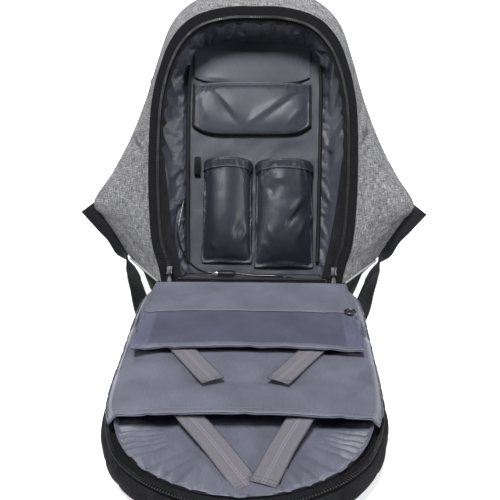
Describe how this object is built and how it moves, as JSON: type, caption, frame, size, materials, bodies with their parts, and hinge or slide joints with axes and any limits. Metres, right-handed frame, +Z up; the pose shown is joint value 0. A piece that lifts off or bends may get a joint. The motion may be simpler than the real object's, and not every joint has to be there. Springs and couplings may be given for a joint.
{
  "type": "anti theft backpack",
  "caption": "Soft grey backpack opened flat on its hinge: a standing shell with lined pockets and a back panel on the floor with tablet and laptop pockets.",
  "frame": {"origin": "middle of the flat strip of the base that stands on the floor", "axes": "+Z up, +X to the right and +Y away from whoever looks into the open bag"},
  "size_m": [0.4984, 0.7228, 0.4209],
  "materials": {
    "heather_cloth": "woven heather grey",
    "black_cloth": "plain woven black",
    "zip_tape": "matt black zip tape",
    "black_padding": "black padded cloth",
    "slate_lining": "slate grey satin lining",
    "grey_elastic": "grey woven elastic",
    "pale_piping": "pale grey piping",
    "black_plastic": "black moulded plastic",
    "cable_jacket": "glossy black cable jacket",
    "dark_metal": "dark plated metal"
  },
  "bodies": {
    "root": {"shell_front": "heather_cloth", "base_panel": "black_cloth", "seam_piping_left": "pale_piping", "seam_piping_right": "pale_piping", "shell_zip_tape": "zip_tape", "shell_zip_chain": "zip_tape", "zip_guard_left": "zip_tape", "zip_guard_right": "zip_tape", "zip_slider_left": "dark_metal", "zip_slider_right": "dark_metal", "shell_lining": "slate_lining", "lining_piping_left": "black_cloth", "lining_piping_right": "black_cloth", "phone_pocket": "slate_lining", "phone_pocket_band": "slate_lining", "tall_pocket_left": "slate_lining", "tall_pocket_right": "slate_lining", "pen_loop": "black_cloth", "hinge_cloth": "black_cloth", "hinge_binding": "black_cloth", "back_pad": "black_padding", "panel_zip_tape": "zip_tape", "panel_lining": "slate_lining", "laptop_pocket": "slate_lining", "laptop_pocket_hem": "slate_lining", "tablet_pocket": "slate_lining", "tablet_pocket_hem": "slate_lining", "tablet_pocket_side_left": "slate_lining", "tablet_pocket_side_right": "slate_lining", "laptop_band_left": "grey_elastic", "laptop_band_right": "grey_elastic", "tablet_band_left": "grey_elastic", "tablet_band_right": "grey_elastic", "shoulder_strap_left": "black_padding", "shoulder_strap_right": "black_padding", "strap_adjuster_left": "black_plastic", "strap_adjuster_right": "black_plastic", "anchor_strap_left": "black_cloth", "anchor_strap_right": "black_cloth", "usb_lead_upper": "cable_jacket", "usb_lead_lower": "cable_jacket", "usb_coupler": "black_plastic"}
  },
  "joints": []
}
